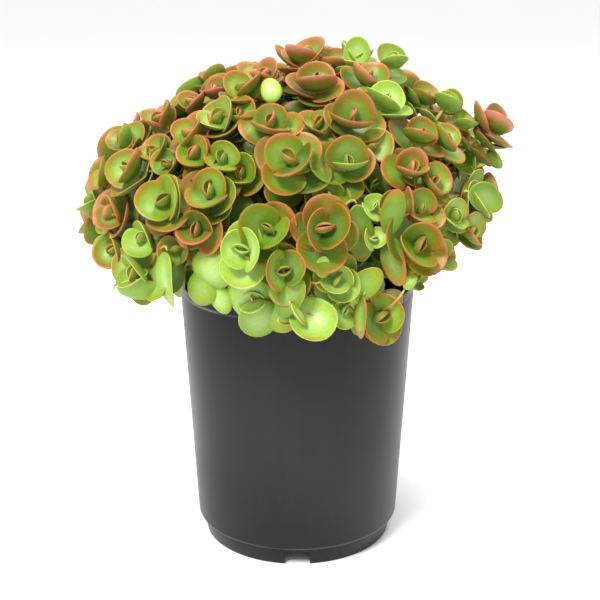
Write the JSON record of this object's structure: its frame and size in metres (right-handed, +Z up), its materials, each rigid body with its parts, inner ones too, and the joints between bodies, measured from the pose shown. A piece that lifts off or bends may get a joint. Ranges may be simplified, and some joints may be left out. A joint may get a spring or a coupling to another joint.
{
  "type": "potted sedum",
  "caption": "Bushy stonecrop with fleshy, red-edged round leaves in a plain dark round nursery pot, filled with potting soil.",
  "frame": {"origin": "on the pot's axis, on the surface the pot stands on", "axes": "+Z up along the pot's axis, the plant's fuller front towards -Y, +X to the right of someone facing it"},
  "size_m": [0.2178, 0.2122, 0.2609],
  "materials": {
    "pot_plastic": "satin moulded, dark charcoal grey",
    "potting_mix": "loose, crumbly, dark brown with pale grains",
    "leaf_and_stem": "waxy fleshy leaf, green with coral-red margins, softly glossy"
  },
  "bodies": {
    "root": {"pot": "pot_plastic", "potting_soil": "potting_mix", "shoot_01": "leaf_and_stem", "shoot_02": "leaf_and_stem", "shoot_03": "leaf_and_stem", "shoot_04": "leaf_and_stem", "shoot_05": "leaf_and_stem", "shoot_06": "leaf_and_stem", "shoot_07": "leaf_and_stem", "shoot_08": "leaf_and_stem", "shoot_09": "leaf_and_stem", "shoot_10": "leaf_and_stem", "shoot_11": "leaf_and_stem", "shoot_12": "leaf_and_stem", "shoot_13": "leaf_and_stem", "shoot_14": "leaf_and_stem", "shoot_15": "leaf_and_stem", "shoot_16": "leaf_and_stem", "shoot_17": "leaf_and_stem", "shoot_18": "leaf_and_stem", "shoot_19": "leaf_and_stem", "shoot_20": "leaf_and_stem", "shoot_21": "leaf_and_stem", "shoot_22": "leaf_and_stem", "shoot_23": "leaf_and_stem", "shoot_24": "leaf_and_stem", "shoot_25": "leaf_and_stem", "shoot_26": "leaf_and_stem", "shoot_27": "leaf_and_stem", "shoot_28": "leaf_and_stem", "shoot_29": "leaf_and_stem", "shoot_30": "leaf_and_stem", "shoot_31": "leaf_and_stem", "shoot_32": "leaf_and_stem", "shoot_33": "leaf_and_stem", "shoot_34": "leaf_and_stem", "shoot_35": "leaf_and_stem", "shoot_36": "leaf_and_stem", "shoot_37": "leaf_and_stem", "shoot_38": "leaf_and_stem", "shoot_39": "leaf_and_stem", "shoot_40": "leaf_and_stem", "shoot_41": "leaf_and_stem", "shoot_42": "leaf_and_stem", "shoot_43": "leaf_and_stem", "shoot_44": "leaf_and_stem", "shoot_45": "leaf_and_stem", "shoot_46": "leaf_and_stem", "shoot_47": "leaf_and_stem", "shoot_48": "leaf_and_stem", "shoot_49": "leaf_and_stem", "shoot_50": "leaf_and_stem", "shoot_51": "leaf_and_stem", "shoot_52": "leaf_and_stem", "shoot_53": "leaf_and_stem", "shoot_54": "leaf_and_stem", "shoot_55": "leaf_and_stem", "shoot_56": "leaf_and_stem", "shoot_57": "leaf_and_stem", "shoot_58": "leaf_and_stem"}
  },
  "joints": []
}
